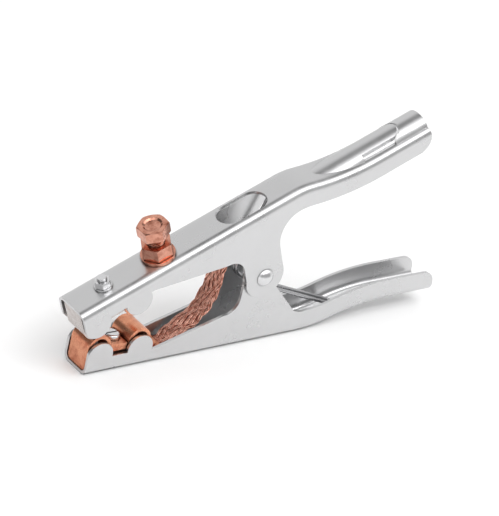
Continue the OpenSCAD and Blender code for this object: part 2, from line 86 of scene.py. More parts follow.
def upper_point(along, across, out):
    """A point given along the upper lever, across it and out from the pivot."""
    return PIVOT + UPPER_ALONG * along + Vector((0.0, across, 0.0)) + TERMINAL_UP * out


def axis_matrix(origin, z_axis, x_axis):
    """The matrix that stands +Z on z_axis and +X near x_axis, with its place at origin."""
    z = z_axis.normalized()
    x = (x_axis - x_axis.dot(z) * z).normalized()
    y = z.cross(x)
    return Matrix.Translation(origin) @ Matrix((x, y, z)).transposed().to_4x4()


# ---- Small tools ------------------------------------------------------------


def new_object(name, data):
    """An object in the scene, at the origin."""
    obj = bpy.data.objects.new(name, data)
    bpy.context.scene.collection.objects.link(obj)
    return obj


def shade_below(bm, angle):
    """Smooth shading, with every edge sharper than the angle kept crisp."""
    limit = math.radians(angle)
    for face in bm.faces:
        face.smooth = True
    for edge in bm.edges:
        edge.smooth = not (len(edge.link_faces) == 2 and edge.calc_face_angle(0.0) > limit)


def mesh_object(name, bm, smooth_angle=35.0):
    """Makes an object of the bmesh, shaded smooth below an angle."""
    mesh = bpy.data.meshes.new(name)
    shade_below(bm, smooth_angle)
    bm.to_mesh(mesh)
    bm.free()
    return new_object(name, mesh)


def evaluated_mesh(obj):
    """A new mesh of the object as its curve settings or modifiers leave it."""
    bpy.context.view_layer.update()
    depsgraph = bpy.context.evaluated_depsgraph_get()
    return bpy.data.meshes.new_from_object(obj.evaluated_get(depsgraph))


def give_material(obj, material):
    obj.data.materials.clear()
    obj.data.materials.append(material)


def finish_piece(obj, body, material, replaced=()):
    """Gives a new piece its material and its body."""
    give_material(obj, material)
    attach(obj, body)
    if replaced:
        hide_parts(*replaced)
    return obj


def wire_mesh(name, paths, radius, sides, cyclic=False):
    """Round wires along lists of points, made as one bevelled curve and turned into a mesh."""
    curve = bpy.data.curves.new(name, "CURVE")
    curve.dimensions = "3D"
    curve.twist_mode = "MINIMUM"
    curve.bevel_depth = radius
    curve.bevel_resolution = max(0, sides // 2 - 2)
    curve.use_fill_caps = True
    for path in paths:
        spline = curve.splines.new("POLY")
        spline.points.add(len(path) - 1)
        for point, place in zip(spline.points, path):
            point.co = (*place, 1.0)
        spline.use_cyclic_u = cyclic
        spline.use_smooth = True
    holder = new_object(name + "_path", curve)
    mesh = evaluated_mesh(holder)
    mesh.name = name
    bpy.data.objects.remove(holder)
    bpy.data.curves.remove(curve)
    return new_object(name, mesh)


# ---- Materials --------------------------------------------------------------


class NodeTree:
    """A short way to write nodes and their links."""

    def __init__(self, tree):
        self.tree = tree

    def add(self, kind, inputs=(), **settings):
        """A node with its settings, and its inputs either linked or given a value."""
        node = self.tree.nodes.new(kind)
        for key, value in settings.items():
            setattr(node, key, value)
        for key, value in dict(inputs).items():
            self.give(node.inputs[key], value)
        return node

    def give(self, socket, value):
        if isinstance(value, bpy.types.NodeSocket):
            self.tree.links.new(value, socket)
        else:
            socket.default_value = value

    def maths(self, operation, *values):
        return self.add("ShaderNodeMath", dict(enumerate(values)), operation=operation).outputs[0]

    def colours(self, value, stops, interpolation="LINEAR"):
        ramp = self.add("ShaderNodeValToRGB", {"Fac": value})
        band = ramp.color_ramp
        band.interpolation = interpolation
        while len(band.elements) < len(stops):
            band.elements.new(0.5)
        for element, (place, colour) in zip(band.elements, stops):
            element.position = place
            element.color = (*colour, 1.0)
        return ramp.outputs["Color"]


class Finish(NodeTree):
    """A material, with patterns that stay on its piece by Object coordinates."""

    def __init__(self, name):
        self.material = bpy.data.materials.new(name)
        self.material.use_nodes = True
        super().__init__(self.material.node_tree)
        self.shader = self.tree.nodes["Principled BSDF"]
        self.coordinates = self.add("ShaderNodeTexCoord").outputs["Object"]

    def stretched(self, scale):
        """Object coordinates, drawn out along an axis by a scale below one."""
        inputs = {"Vector": self.coordinates, "Scale": scale}
        return self.add("ShaderNodeMapping", inputs).outputs[0]

    def noise(self, scale, detail, roughness=0.5, vector=None, distortion=0.0):
        inputs = {
            "Vector": vector or self.coordinates,
            "Scale": scale,
            "Detail": detail,
            "Roughness": roughness,
            "Distortion": distortion,
        }
        return self.add("ShaderNodeTexNoise", inputs).outputs["Fac"]

    def spread(self, value, low, high, from_low=0.3, from_high=0.7):
        """The value's usual range, stretched to reach from low to high."""
        inputs = {
            "Value": value,
            "From Min": from_low,
            "From Max": from_high,
            "To Min": low,
            "To Max": high,
        }
        return self.add("ShaderNodeMapRange", inputs).outputs[0]

    def bump(self, height, strength, distance, normal=None):
        inputs = {"Height": height, "Strength": strength, "Distance": distance}
        if normal:
            inputs["Normal"] = normal
        return self.add("ShaderNodeBump", inputs).outputs["Normal"]

    def painted_crease_shade(self, colour, reach, start, shade):
        """The colour, with painted shade where surfaces meet closely, darkest in creases and
        gaps.
        """
        ao = self.add("ShaderNodeAmbientOcclusion", {"Distance": reach}, samples=6).outputs["AO"]
        clear = self.spread(ao, 0.0, 1.0, start, 0.95)
        # Sockets of a colour Mix node: 0 the share, 6 and 7 the two colours, 2 the result
        inputs = {0: clear, 6: (*shade, 1.0), 7: colour}
        return self.add("ShaderNodeMix", inputs, data_type="RGBA").outputs[2]

    def soft_edges(self, radius):
        return self.add("ShaderNodeBevel", {"Radius": radius}, samples=4).outputs["Normal"]

    def set(self, **sockets):
        """Sets the shader's own sockets and gives the finished material."""
        for key, value in sockets.items():
            self.give(self.shader.inputs[key.replace("_", " ")], value)
        return self.material


def scaled(tone, share_kept):
    return [part * share_kept for part in tone]


def between(one, other):
    return [(a + b) / 2 for a, b in zip(one, other)]


def zinc_material(name, tone, roughness, edge):
    """Bright zinc plate: faint clouding, rolling marks along the sheet and painted shade in the
    creases.
    """
    n = Finish(name)
    cloud = n.noise(scale=55.0, detail=4.0, roughness=0.6)
    roll = n.noise(scale=900.0, detail=2.0, vector=n.stretched((0.08, 1.0, 1.0)))
    speck = n.noise(scale=2600.0, detail=1.0)
    tint = n.colours(cloud, [(0.25, scaled(tone, 0.93)), (0.75, tone)])
    # Painted shade: the plate's colour darkened by ambient occlusion where surfaces meet closely
    tint = n.painted_crease_shade(tint, reach=0.0011, start=0.25, shade=scaled(tone, 0.22))
    shine = n.spread(cloud, roughness * 0.8, roughness * 1.25)
    grain = n.maths("ADD", roll, speck)
    normal = n.bump(grain, strength=0.02, distance=0.00006, normal=n.soft_edges(edge))
    return n.set(Base_Color=tint, Metallic=1.0, Roughness=shine, Normal=normal)


def copper_material(name, bright, dark, roughness, edge, patch_scale=140.0):
    """Bare copper: darker oxide in patches, drawing marks, painted shade in the creases and a
    soft polish on the edges.
    """
    n = Finish(name)
    patch = n.noise(scale=patch_scale, detail=5.0, roughness=0.65, distortion=0.5)
    fine = n.noise(scale=900.0, detail=3.0, roughness=0.6)
    drawn = n.noise(scale=1400.0, detail=2.0, vector=n.stretched((0.1, 1.0, 0.1)))
    mixed = n.maths("ADD", patch, n.spread(fine, -0.08, 0.08))
    tint = n.colours(mixed, [(0.30, dark), (0.43, between(bright, dark)), (0.60, bright)])
    # Painted shade: the copper's colour darkened by ambient occlusion where surfaces meet closely
    tint = n.painted_crease_shade(tint, reach=0.0014, start=0.30, shade=scaled(dark, 0.25))
    shine = n.spread(mixed, roughness * 1.4, roughness * 0.8)
    normal = n.bump(drawn, strength=0.08, distance=0.0001, normal=n.soft_edges(edge))
    return n.set(Base_Color=tint, Metallic=1.0, Roughness=shine, Normal=normal)


def wire_material(name, bright, dark, roughness):
    """Fine drawn wire: lighter and darker at random, with painted shade down between the strands.
    """
    n = Finish(name)
    patch = n.noise(scale=430.0, detail=3.0, roughness=0.6)
    fine = n.noise(scale=2600.0, detail=2.0)
    mixed = n.maths("ADD", patch, n.spread(fine, -0.12, 0.12))
    tint = n.colours(mixed, [(0.34, dark), (0.48, between(bright, dark)), (0.62, bright)])
    # Painted shade down between the wires and strands, from ambient occlusion
    tint = n.painted_crease_shade(tint, reach=0.0006, start=0.35, shade=scaled(dark, 0.25))
    shine = n.spread(mixed, roughness * 1.3, roughness)
    normal = n.bump(fine, strength=0.15, distance=0.00005)
    return n.set(Base_Color=tint, Metallic=1.0, Roughness=shine, Normal=normal)


# ---- Settings ---------------------------------------------------------------


def size(name, text, default):
    return bpy.props.FloatProperty(
        name=name, description=text, default=default, min=0.0, subtype="DISTANCE", unit="LENGTH"
    )


def colour(name, text, default):
    return bpy.props.FloatVectorProperty(
        name=name, description=text, default=default, size=3, min=0.0, max=1.0, subtype="COLOR"
    )


def share(name, text, default):
    return bpy.props.FloatProperty(
        name=name, description=text, default=default, min=0.0, max=1.0, subtype="FACTOR"
    )


class ClampFinishes(bpy.types.PropertyGroup):
    # Each finish's darker colour (for zinc, its tone), scaled down, is also the colour of the
    # painted shade in its creases
    zinc_tone: colour("Zinc", "Colour of the plated sheet", (0.645, 0.645, 0.65))
    zinc_roughness: share("Zinc roughness", "Roughness of the plated sheet", 0.30)
    rivet_tone: colour("Rivet", "Colour of the pivot rivet", (0.72, 0.72, 0.73))
    spring_tone: colour("Spring", "Colour of the spring wire", (0.42, 0.42, 0.43))
    copper_bright: colour("Copper", "Colour of the clean copper", (0.77, 0.35, 0.21))
    copper_dark: colour("Copper oxide", "Colour of the duller copper", (0.50, 0.155, 0.085))
    terminal_bright: colour("Terminal", "Colour of the plated terminal", (0.68, 0.33, 0.24))
    terminal_dark: colour(
        "Terminal shade", "Colour of the terminal's duller copper", (0.38, 0.14, 0.09)
    )
    tinned_bright: colour("Tin", "Colour of the tinned copper strip", (0.62, 0.58, 0.56))
    tinned_dark: colour("Dull tin", "Colour of the worn tin", (0.44, 0.38, 0.36))
    # The braid's two colours are spread over the wires at random, not by crown; the darker one
    # also gives the painted shade between the wires
    braid_bright: colour("Braid", "Colour of the braid's wire crowns", (0.98, 0.56, 0.44))
    braid_dark: colour("Braid shade", "Colour between the braid's wires", (0.42, 0.13, 0.085))


class BraidSizes(bpy.types.PropertyGroup):
    width: size("Width", "Width of the woven band", 0.0136)
    thickness: size("Thickness", "Thickness of the woven band", 0.0021)
    wire: size("Wire", "Diameter of one wire", 0.00082)
    turn: size("Lay length", "Length in which a strand goes once round the band", 0.088)
    strands: bpy.props.IntProperty(
        name="Strands", description="Strands in each direction", default=9, min=4, max=20
    )


class SpringSizes(bpy.types.PropertyGroup):
    wire: size("Wire", "Diameter of the spring wire", 0.0022)
    coil: size("Coil", "Mean radius of the coils", 0.008)
    pitch: size("Pitch", "Distance between neighbouring coils", 0.00255)
    inner: size("Inner legs", "Distance of the inner legs from the middle", 0.0033)


class ThreadSizes(bpy.types.PropertyGroup):
    terminal_pitch: size("Terminal pitch", "Thread pitch of the terminal screw", 0.0015)
    screw_pitch: size("Screw pitch", "Thread pitch of the contact screws", 0.0008)


class StageSizes(bpy.types.PropertyGroup):
    floor: size("Floor", "Width of the floor", 3.0)
    floor_tone: colour("Floor colour", "Colour of the floor", (0.93, 0.93, 0.93))


GROUPS = {
    "clamp_finishes": ClampFinishes,
    "clamp_braid": BraidSizes,
    "clamp_spring": SpringSizes,
    "clamp_threads": ThreadSizes,
    "clamp_stage": StageSizes,
}


def settings(context, name):
    return getattr(context.scene, name)


def shared_material(name, make, **values):
    """The material of that name, made the first time it is asked for."""
    return bpy.data.materials.get(name) or make(name, **values)


def contact_copper(context):
    s = settings(context, "clamp_finishes")
    bright, dark = list(s.copper_bright), list(s.copper_dark)
    return shared_material(
        "bare_copper", copper_material, bright=bright, dark=dark, roughness=0.30, edge=0.0003
    )


def terminal_copper(context):
    s = settings(context, "clamp_finishes")
    return shared_material(
        "plated_terminal",
        copper_material,
        bright=list(s.terminal_bright),
        dark=list(s.terminal_dark),
        roughness=0.15,
        edge=0.0003,
        patch_scale=260.0,
    )


def bright_zinc(context):
    tone = list(settings(context, "clamp_finishes").rivet_tone)
    return shared_material("fastener_zinc", zinc_material, tone=tone, roughness=0.20, edge=0.0002)


def spring_steel(context):
    tone = list(settings(context, "clamp_finishes").spring_tone)
    return shared_material("spring_wire", zinc_material, tone=tone, roughness=0.28, edge=0.0001)


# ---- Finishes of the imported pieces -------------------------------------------


class CLAMP_OT_levers(bpy.types.Operator):
    """Gives the pressed levers and the rivet their zinc plate"""

    bl_idname = "clamp.levers"
    bl_label = "Levers"

    def execute(self, context):
        s = settings(context, "clamp_finishes")
        sheet = zinc_material("zinc_sheet", list(s.zinc_tone), s.zinc_roughness, edge=0.0004)
        for node in ("lower_lever", "upper_lever"):
            give_material(NODES[node], sheet)
        rivet = zinc_material("rivet_zinc", list(s.rivet_tone), roughness=0.22, edge=0.0003)
        give_material(NODES["pivot_rivet"], rivet)
        return {"FINISHED"}


class CLAMP_OT_contacts(bpy.types.Operator):
    """Gives the copper strips, lugs and small fasteners their finishes"""

    bl_idname = "clamp.contacts"
    bl_label = "Contacts"

    def execute(self, context):
        s = settings(context, "clamp_finishes")
        bright, dark = list(s.tinned_bright), list(s.tinned_dark)
        tinned = copper_material("tinned_copper", bright, dark, roughness=0.30, edge=0.0003)
        finishes = {
            contact_copper(context): (
                "lower_front_contact",
                "lower_rear_contact",
                "upper_rear_contact",
                "lower_braid_lug",
                "upper_braid_lug",
                "lower_braid_rivet",
            ),
            tinned: ("upper_front_contact",),
            terminal_copper(context): ("terminal_washer", "terminal_nut"),
            bright_zinc(context): (
                "lower_contact_screw",
                "upper_contact_washer",
                "upper_contact_nut",
                "terminal_lock_nut",
            ),
        }
        for material, nodes in finishes.items():
            for node in nodes:
                give_material(NODES[node], material)
        return {"FINISHED"}


# ---- Threaded screws ----------------------------------------------------------


STEPS_A_TURN = 40
# A ridge's half width at its root and on its crest, as shares of the pitch
ROOT_HALF = 0.44
CREST_HALF = 0.08
# The crest stops short of the full radius by this share of the depth
CREST_SHORT = 0.1
# Depth of a full thread, as a share of the pitch
THREAD_DEPTH = 0.5


def thread_ridge(bm, radius, depth, pitch, low, high):
    """A helical ridge round Z from low to high, spun from its own small section."""
    turns = (high - low) / pitch
    steps = max(8, int(turns * STEPS_A_TURN))
    root, crest = radius - depth, radius - depth * CREST_SHORT
    half = pitch * ROOT_HALF
    flat = pitch * CREST_HALF
    section = [
        bm.verts.new((root, 0.0, low - half)),
        bm.verts.new((crest, 0.0, low - flat)),
        bm.verts.new((crest, 0.0, low + flat)),
        bm.verts.new((root, 0.0, low + half)),
    ]
    outline = [bm.edges.new(pair) for pair in zip(section, section[1:] + section[:1])]
    swept = bmesh.ops.spin(
        bm,
        geom=section + outline,
        cent=(0.0, 0.0, 0.0),
        axis=(0.0, 0.0, 1.0),
        dvec=(0.0, 0.0, (high - low) / steps),
        angle=2 * math.pi * turns,
        steps=steps,
        use_merge=False,
        use_normal_flip=False,
        use_duplicate=False,
    )
    last = [part for part in swept["geom_last"] if isinstance(part, bmesh.types.BMEdge)]
    for loop in (outline, last):
        bmesh.ops.contextual_create(bm, geom=loop)


def lathe(bm, profile, segments=64):
    """A closed turned body from (radius, height) pairs that begin and end on the axis."""
    verts = [bm.verts.new((r, 0.0, z)) for r, z in profile]
    edges = [bm.edges.new(pair) for pair in zip(verts, verts[1:])]
    bmesh.ops.spin(
        bm,
        geom=verts + edges,
        cent=(0.0, 0.0, 0.0),
        axis=(0.0, 0.0, 1.0),
        dvec=(0.0, 0.0, 0.0),
        angle=2 * math.pi,
        steps=segments,
        use_merge=True,
        use_normal_flip=False,
        use_duplicate=False,
    )
    bmesh.ops.remove_doubles(bm, verts=bm.verts, dist=MERGE)


def turned_object(name, profile, segments):
    """An object turned from a closed profile."""
    bm = bmesh.new()
    lathe(bm, profile, segments)
    bmesh.ops.recalc_face_normals(bm, faces=bm.faces)
    return mesh_object(name, bm)


def cut(obj, tool, operation):
    """Applies a boolean of tool to obj and removes the tool."""
    modifier = obj.modifiers.new("cut", "BOOLEAN")
    modifier.operation = operation
    modifier.solver = "EXACT"
    modifier.object = tool
    mesh = evaluated_mesh(obj)
    obj.modifiers.clear()
    old = obj.data
    obj.data = mesh
    mesh.name = obj.name
    bpy.data.meshes.remove(old)
    bpy.data.objects.remove(tool)
    bm = bmesh.new()
    bm.from_mesh(mesh)
    bmesh.ops.remove_doubles(bm, verts=bm.verts, dist=MERGE)
    bmesh.ops.dissolve_degenerate(bm, edges=bm.edges, dist=MERGE)
    shade_below(bm, angle=18.0)
    bm.to_mesh(mesh)
    bm.free()


# The terminal screw stands on the upper lever, this far from the pivot towards the jaws
TERMINAL_ALONG = -0.0575
TERMINAL_SHANK_R = 0.005
HEAD_H = 0.0065
HEAD_ACROSS_FLATS = 0.016
# Slope of the head's turned chamfer, and where it begins and the tool's cone ends, as shares
# of the hexagon's inner radius
CHAMFER_SLOPE = math.tan(math.radians(28))
CHAMFER_FROM = 0.99
TOP_FLAT = 0.93
# The turning tool reaches this many times the head's corner radius
TURNING_REACH = 1.6
# Round dish in the head's top: shares of its radius, and heights above the top
DISH_R = 0.0056
DISH_PROFILE = [
    (0.0, -0.0014),
    (0.45, -0.00135),
    (0.80, -0.0010),
    (1.0, 0.0),
    (1.0, 0.002),
    (0.0, 0.002),
]
# Chamfer on the shank's end; below the head, where the neck begins and has its full width
END_CHAMFER = 0.0006
NECK_LOW = 0.0016
NECK_HIGH = 0.0010
# The neck is this much thinner than the shank, and runs as far into the head
NECK_EASE = 0.0002
# How far a cutting tool stands clear above and below
CLEAR = 0.01


class CLAMP_OT_terminal_screw(bpy.types.Operator):
    """Cuts the terminal screw: hexagonal head with a dished top, collar and thread"""

    bl_idname = "clamp.terminal_screw"
    bl_label = "Terminal screw"

    def execute(self, context):
        pitch = settings(context, "clamp_threads").terminal_pitch
        place = axis_matrix(upper_point(TERMINAL_ALONG, 0.0, 0.0), TERMINAL_UP, UPPER_ALONG)
        inverse = place.inverted()
        heights = [(inverse @ v.co).z for v in NODES["terminal_bolt"].data.vertices]
        top, bottom = max(heights), min(heights)
        head_low = top - HEAD_H
        depth = pitch * THREAD_DEPTH
        core = TERMINAL_SHANK_R - depth
        neck = TERMINAL_SHANK_R - NECK_EASE
        bm = bmesh.new()
        # Plain core with a run-out neck and a pointed end, inside the thread
        lathe(
            bm,
            [
                (0.0, bottom),
                (core - END_CHAMFER, bottom),
                (core, bottom + END_CHAMFER),
                (core, head_low - NECK_LOW),
                (neck, head_low - NECK_HIGH),
                (neck, head_low + NECK_EASE),
                (0.0, head_low + NECK_EASE),
            ],
        )
        thread_low = bottom + pitch * 0.6
        thread_ridge(bm, TERMINAL_SHANK_R, depth, pitch, thread_low, head_low - NECK_LOW)
        bmesh.ops.recalc_face_normals(bm, faces=bm.faces)
        screw = mesh_object("terminal_screw_thread", bm, smooth_angle=30.0)
        screw.data.transform(place)
        finish_piece(screw, "terminal", terminal_copper(context))
        self.make_head(context, place, head_low, top)
        return {"FINISHED"}

    def make_head(self, context, place, low, top):
        """A hexagon with its upper corners turned off and a round dish in its top."""
        corner = HEAD_ACROSS_FLATS / math.sqrt(3)
        flat_r = HEAD_ACROSS_FLATS / 2
        bm = bmesh.new()
        bmesh.ops.create_cone(
            bm,
            cap_ends=True,
            cap_tris=False,
            segments=6,
            radius1=corner,
            radius2=corner,
            depth=top - low,
            matrix=Matrix.Translation((0.0, 0.0, (low + top) / 2)),
        )
        head = mesh_object("terminal_screw_head", bm, smooth_angle=20.0)
        reach = corner * TURNING_REACH
        begin = flat_r * CHAMFER_FROM
        inner = flat_r * TOP_FLAT
        turning = [
            (0.0, low - CLEAR),
            (reach, low - CLEAR),
            (reach, top - (reach - begin) * CHAMFER_SLOPE),
            (inner, top - (inner - begin) * CHAMFER_SLOPE),
            (inner, top + CLEAR),
            (0.0, top + CLEAR),
        ]
        outside = turned_object("terminal_head_turning", turning, segments=96)
        cut(head, outside, "INTERSECT")
        dish = [(DISH_R * across, top + rise) for across, rise in DISH_PROFILE]
        cut(head, turned_object("terminal_head_dish", dish, segments=72), "DIFFERENCE")
        head.data.transform(place)
        finish_piece(
            head, "terminal", terminal_copper(context), ["terminal_bolt"]
        )


# Thread on the upper contact screw's end, just inside the plain shank's outline
SCREW_THREAD_R = 0.00262
SCREW_THREAD_DEPTH = 0.0006
SCREW_THREAD_LENGTH = 0.0022


class CLAMP_OT_contact_screw_end(bpy.types.Operator):
    """Cuts the thread on the end of the upper contact screw"""

    bl_idname = "clamp.contact_screw_end"
    bl_label = "Contact screw end"

    def execute(self, context):
        pitch = settings(context, "clamp_threads").screw_pitch
        node = NODES["upper_contact_screw"]
        give_material(node, bright_zinc(context))
        nut_low, nut_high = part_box("upper_contact_nut")
        middle = (nut_low + nut_high) / 2
        along = (middle - PIVOT).dot(UPPER_ALONG)
        place = axis_matrix(upper_point(along, 0.0, 0.0), TERMINAL_UP, UPPER_ALONG)
        top = max((place.inverted() @ v.co).z for v in node.data.vertices)
        low, high = top - SCREW_THREAD_LENGTH, top - pitch * 0.5
        bm = bmesh.new()
        thread_ridge(bm, SCREW_THREAD_R, SCREW_THREAD_DEPTH, pitch, low, high)
        bmesh.ops.recalc_face_normals(bm, faces=bm.faces)
        thread = mesh_object("contact_screw_thread", bm, smooth_angle=30.0)
        thread.data.transform(place)
        finish_piece(thread, "upper", bright_zinc(context))
        return {"FINISHED"}


# ---- Spring ---------------------------------------------------------------------


# Feet of the spring's legs: the lower one's (x, z) about the pivot, and how far along the
# upper lever the upper one's is
LOWER_FOOT = (0.070, -0.03584)
UPPER_FOOT_ALONG = 0.028
# Points along a straight leg, as shares of its length from the coil
LEG_POINTS = (0.33, 0.66)
# Bend between a lower leg and the bridge that joins the two
BRIDGE_BEND_R = 0.0022
BRIDGE_BEND_STEPS = 6
COIL_STEPS = 72
WIRE_SIDES = 16
# The upper legs begin inside the winding, this far back along it and a little thinner, so
# that no gap opens between them as the levers turn
OVERLAP = math.radians(46)
OVERLAP_STEPS = 20
OVERLAP_THINNER = 0.985


class CLAMP_OT_spring(bpy.types.Operator):
    """Winds the double torsion spring round the rivet"""

    bl_idname = "clamp.spring"
    bl_label = "Torsion spring"

    def execute(self, context):
        s = settings(context, "clamp_spring")
        r = s.coil
        lower_foot = Vector(LOWER_FOOT)
        foot_out = WEB_H - SHEET_T - s.wire / 3 - SEAT_GAP
        foot_up = upper_point(UPPER_FOOT_ALONG, 0.0, foot_out) - PIVOT
        upper_foot = Vector((foot_up.x, foot_up.z))
        lower_len = math.sqrt(lower_foot.length_squared - r * r)
        upper_len = math.sqrt(upper_foot.length_squared - r * r)
        lower_angle = math.atan2(lower_foot.y, lower_foot.x) + math.atan(r / lower_len)
        upper_angle = math.atan2(upper_foot.y, upper_foot.x) - math.atan(r / upper_len)
        turn = 3 * math.pi - upper_angle + lower_angle
        pitch = s.pitch / (2 * math.pi)

        def on_coil(angle, side):
            """The wire's middle at that much turn from the lower leg, on one side."""
            a = lower_angle - math.pi / 2 - angle
            y = side * (s.inner + pitch * angle)
            return PIVOT + Vector((r * math.cos(a), y, r * math.sin(a)))

        along = Vector((math.cos(lower_angle), 0.0, math.sin(lower_angle)))

        def half(side):
            """Bridge corner, lower leg and coil."""
            start = on_coil(0.0, side)
            corner = start + along * (lower_len - BRIDGE_BEND_R)
            points = []
            for k in range(BRIDGE_BEND_STEPS + 1):
                a = math.pi / 2 * k / BRIDGE_BEND_STEPS
                points.append(
                    corner
                    + along * (BRIDGE_BEND_R * math.cos(a))
                    - Vector((0.0, side * BRIDGE_BEND_R * (1 - math.sin(a)), 0.0))
                )
            points += [start + along * lower_len * t for t in reversed(LEG_POINTS)]
            points += [on_coil(turn * k / COIL_STEPS, side) for k in range(COIL_STEPS + 1)]
            return points

        right, left = half(1), half(-1)
        wound = list(reversed(left)) + right
        winding = wire_mesh("spring_winding", [wound], s.wire / 2, WIRE_SIDES)
        finish_piece(winding, "lower", spring_steel(context), ["torsion_spring"])

        leg = Vector((math.cos(upper_angle), 0.0, math.sin(upper_angle)))
        paths = []
        for side in (1, -1):
            arc = [
                on_coil(turn - OVERLAP * (1 - k / OVERLAP_STEPS), side)
                for k in range(OVERLAP_STEPS + 1)
            ]
            straight = [arc[-1] + leg * upper_len * t for t in (*LEG_POINTS, 1.0)]
            paths.append(arc + straight)
        thinner = s.wire / 2 * OVERLAP_THINNER
        legs = wire_mesh("spring_upper_legs", paths, thinner, WIRE_SIDES)
        finish_piece(legs, "upper", spring_steel(context))
        return {"FINISHED"}


# ---- Braid ------------------------------------------------------------------------

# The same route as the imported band's, (x, z) in millimetres: from the lower lug's end,
# about the pivot, and from the upper lug's end
FROM_LOWER_LUG = [(3, 0), (10.7, 6.9), (19.7, 12.9), (26.7, 20.9)]
ABOUT_PIVOT = [(-27, -9), (-25.5, 2)]
FROM_UPPER_LUG = [(24.5, -8.2), (18, -0.2)]
# The upper lug's end, along the upper lever and out from the pivot, and the straight
# stretch that the braid leaves it by
UPPER_LUG_END = (-0.0395, 0.0399)
LEAD_OUT = 0.004
STEPS_A_KNOT = 24
# Spacing of the points along each wire
WIRE_STEP = 0.0009
WIRES_A_STRAND = 2
# Spacing of a strand's wires, and the rise over a crossing, as shares of the wire
WIRE_SPACING = 1.06
CROSSING_RISE = 0.50
# How abruptly a strand rises and falls at a crossing
CROSSING_STEEPNESS = 1.6
FILLER_WIRES = 11
# Width that the filler wires fill, as a share of the band's flat part
FILLED = 0.98
BRAID_WIRE_SIDES = 8


def catmull(points, i, t):
    """A point on the smooth curve through the points, at a share t of the way past i."""
    last = len(points) - 1
    a, b, c, d = (points[max(0, min(k, last))] for k in (i - 1, i, i + 1, i + 2))
    return 0.5 * (
        2 * b + t * (c - a) + t * t * (2 * a - 5 * b + 4 * c - d) + t**3 * (3 * b - a - 3 * c + d)
    )


def braid_route():
    """The braid's middle line as closely spaced points, with the length up to each."""
    low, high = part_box("lower_braid_lug")
    lower_end = Vector((high.x, 0.0, (low.z + high.z) / 2))
    upper_end = upper_point(UPPER_LUG_END[0], 0.0, UPPER_LUG_END[1])

    def steps_from(place, offsets):
        return [place + Vector((x, 0.0, z)) * MM for x, z in offsets]

    knots = [lower_end]
    knots += steps_from(lower_end, FROM_LOWER_LUG)
    knots += steps_from(PIVOT, ABOUT_PIVOT)
    knots += steps_from(upper_end, FROM_UPPER_LUG)
    knots += [upper_end + UPPER_ALONG * LEAD_OUT, upper_end]
    fine = [
        catmull(knots, i, k / STEPS_A_KNOT)
        for i in range(len(knots) - 1)
        for k in range(STEPS_A_KNOT)
    ]
    fine.append(knots[-1])
    lengths = [0.0]
    for a, b in zip(fine, fine[1:]):
        lengths.append(lengths[-1] + (b - a).length)
    return fine, lengths


def at_length(route, lengths, s):
    """Point and direction of the route at a length along it."""
    s = max(0.0, min(s, lengths[-1]))
    low, high = 0, len(lengths) - 1
    while high - low > 1:
        middle = (low + high) // 2
        low, high = (middle, high) if lengths[middle] <= s else (low, middle)
    t = (s - lengths[low]) / max(lengths[high] - lengths[low], 1e-12)
    before = route[max(low - 1, 0)]
    after = route[min(high + 1, len(route) - 1)]
    return route[low].lerp(route[high], t), (after - before).normalized()


class CLAMP_OT_braid(bpy.types.Operator):
    """Plaits the flat copper braid between the jaws"""

    bl_idname = "clamp.braid"
    bl_label = "Copper braid"

    def execute(self, context):
        s = settings(context, "clamp_braid")
        route, lengths = braid_route()
        total = lengths[-1]
        half_w = (s.width - s.wire) / 2
        half_t = (s.thickness - s.wire) / 2
        flat = 2 * (half_w - half_t)
        around = 2 * flat + 2 * math.pi * half_t
        count = int(total / WIRE_STEP)
        crossings = 2 * s.strands

        def on_band(u, lift):
            """Across and outward offsets of a place u round the flattened band."""
            u %= around
            half_turn = math.pi * half_t
            if u < flat:
                return -flat / 2 + u, half_t + lift
            if u < flat + half_turn:
                a = (u - flat) / half_t
                return flat / 2 + (half_t + lift) * math.sin(a), (half_t + lift) * math.cos(a)
            if u < 2 * flat + half_turn:
                return flat / 2 - (u - flat - half_turn), -half_t - lift
            a = (u - 2 * flat - half_turn) / half_t
            return -flat / 2 - (half_t + lift) * math.sin(a), -(half_t + lift) * math.cos(a)

        paths = []
        for way in (1, -1):
            for strand in range(s.strands):
                for wire in range(WIRES_A_STRAND):
                    shift = (wire - (WIRES_A_STRAND - 1) / 2) * s.wire * WIRE_SPACING
                    path = []
                    for k in range(count + 1):
                        length = total * k / count
                        turns = length / s.turn
                        base = way * turns + strand / s.strands
                        u = base * around + shift * math.sqrt(1 + (around / s.turn) ** 2)
                        # Each strand goes over two and under two of the other direction's
                        meets = crossings * turns + strand
                        weave = math.sin(math.pi * (meets / 2 + 0.25)) * way * CROSSING_STEEPNESS
                        lift = s.wire * CROSSING_RISE * max(-1.0, min(1.0, weave))
                        across, out = on_band(u, lift)
                        point, direction = at_length(route, lengths, length)
                        normal = Vector((-direction.z, 0.0, direction.x))
                        path.append(point + Vector((0.0, across, 0.0)) + normal * out)
                    paths.append(path)
        # Straight filler wires inside the weave
        for k in range(FILLER_WIRES):
            across = (k / (FILLER_WIRES - 1) - 0.5) * flat * FILLED
            path = []
            for j in range(count + 1):
                point, _ = at_length(route, lengths, total * j / count)
                path.append(point + Vector((0.0, across, 0.0)))
            paths.append(path)
        braid = wire_mesh("woven_braid", paths, s.wire / 2, BRAID_WIRE_SIDES)
        f = settings(context, "clamp_finishes")
        bright, dark = list(f.braid_bright), list(f.braid_dark)
        give_material(braid, wire_material("braid_wire", bright, dark, roughness=0.34))
        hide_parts("copper_braid")
        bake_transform(braid)
        return {"FINISHED"}


# ---- Stage ---------------------------------------------------------------------------


def soft_light(name, place, target, width, height, power):
    """A broad rectangular light that points at the target."""
    lamp = bpy.data.lights.new(name, "AREA")
    lamp.shape = "RECTANGLE"
    lamp.size, lamp.size_y = width, height
    lamp.energy = power
    obj = new_object(name, lamp)
    obj.location = place
    obj.rotation_mode = "QUATERNION"
    obj.rotation_quaternion = (Vector(target) - Vector(place)).to_track_quat("-Z", "Y")
    return obj


